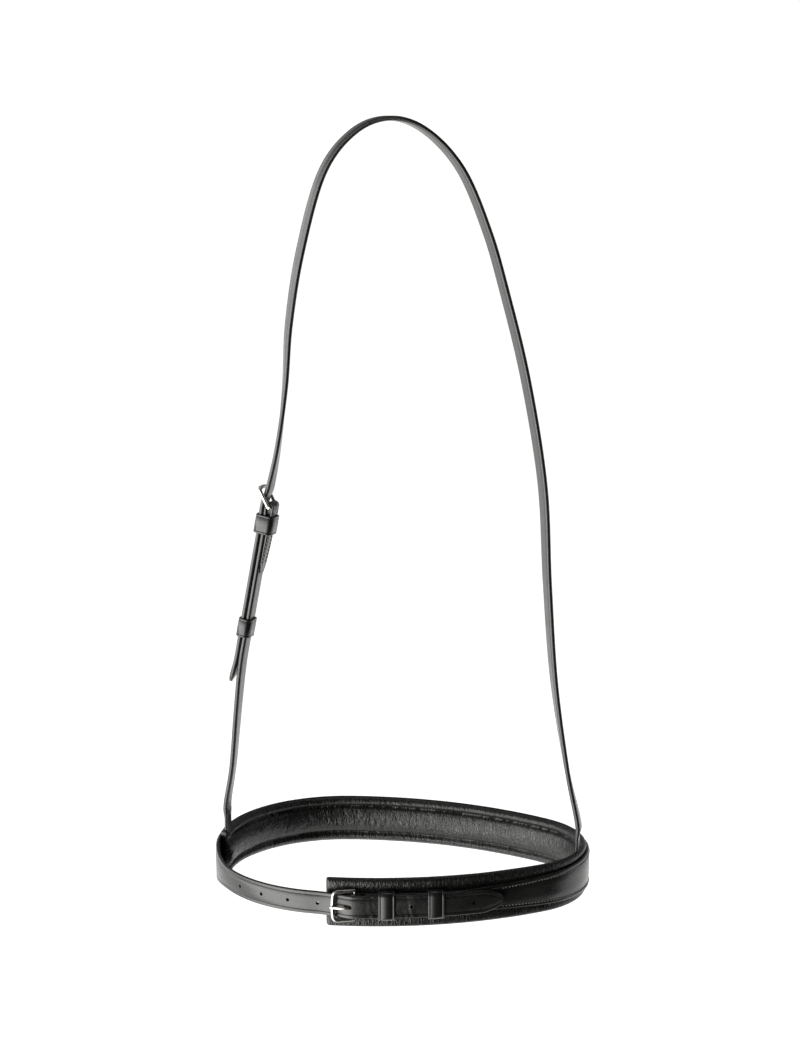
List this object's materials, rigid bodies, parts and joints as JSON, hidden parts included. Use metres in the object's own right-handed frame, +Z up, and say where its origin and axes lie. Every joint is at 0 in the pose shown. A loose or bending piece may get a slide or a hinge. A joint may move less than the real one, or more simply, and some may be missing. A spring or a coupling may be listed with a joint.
{
  "type": "cavesson noseband with headpiece",
  "caption": "Padded leather cavesson noseband that buckles under the chin, with a narrow slip head that passes over the poll and buckles at the cheek.",
  "frame": {"origin": "underside of the headpiece strap at its crown, where the horse's poll carries it", "axes": "+Z up, away from the noseband; +Y towards the nose; -Y towards the chin; -X towards the cheek that has the buckle"},
  "size_m": [0.2623, 0.1895, 0.5313],
  "materials": {
    "band_leather": "smooth black bridle leather with a soft wax sheen",
    "lining_leather": "soft pebble-grained padded lining leather",
    "strap_leather": "smooth black bridle leather with dyed, burnished edges",
    "keeper_leather": "thin polished black leather",
    "padding": "soft felt wadding, sealed inside the lining",
    "thread": "waxed black thread",
    "buckle_metal": "polished stainless steel, slightly tarnished"
  },
  "bodies": {
    "headpiece": {"head_strap": "strap_leather", "cheek_strap": "strap_leather", "cheek_keeper_fixed": "keeper_leather"},
    "noseband": {"outer_band": "band_leather", "lining": "lining_leather", "padding_foam": "padding", "upper_stitching": "thread", "lower_stitching": "thread", "chin_chape": "band_leather", "chin_keeper_front": "keeper_leather", "chin_keeper_rear": "keeper_leather", "cheek_strap_tab": "strap_leather", "head_strap_tab": "strap_leather"},
    "chin_buckle": {"chin_buckle_frame": "buckle_metal"},
    "chin_tongue": {"chin_buckle_tongue": "buckle_metal"},
    "cheek_buckle": {"cheek_buckle_frame": "buckle_metal"},
    "cheek_tongue": {"cheek_buckle_tongue": "buckle_metal"},
    "running_keeper": {"cheek_keeper_running": "keeper_leather"}
  },
  "joints": [
    {"name": "noseband_tip", "type": "hinge", "parent": "headpiece", "child": "noseband", "pos_m": [-0.1157, 0.01975, -0.48635], "axis": [0.9841, -0.1776, 0], "range_deg": [-15, 15], "stiffness_Nm_per_rad": 0.4},
    {"name": "chin_buckle_lift", "type": "hinge", "parent": "noseband", "child": "chin_buckle", "pos_m": [-0.02355, -0.08668, -0.511], "axis": [0, 0, 1], "range_deg": [0, 5]},
    {"name": "chin_tongue_lift", "type": "hinge", "parent": "chin_buckle", "child": "chin_tongue", "pos_m": [-0.02355, -0.08668, -0.511], "axis": [0, 0, 1], "range_deg": [0, 6]},
    {"name": "cheek_buckle_lift", "type": "hinge", "parent": "headpiece", "child": "cheek_buckle", "pos_m": [-0.081, 0.0053, -0.259], "axis": [-0.2545, -0.9659, 0.0472], "range_deg": [-5, 4]},
    {"name": "cheek_tongue_lift", "type": "hinge", "parent": "cheek_buckle", "child": "cheek_tongue", "pos_m": [-0.081, 0.0053, -0.259], "axis": [-0.2545, -0.9659, 0.0472], "range_deg": [0, 6]},
    {"name": "keeper_slide", "type": "slide", "parent": "headpiece", "child": "running_keeper", "axis": [0.1822, 0, 0.9833], "range_m": [-0.014, 0.026]}
  ]
}
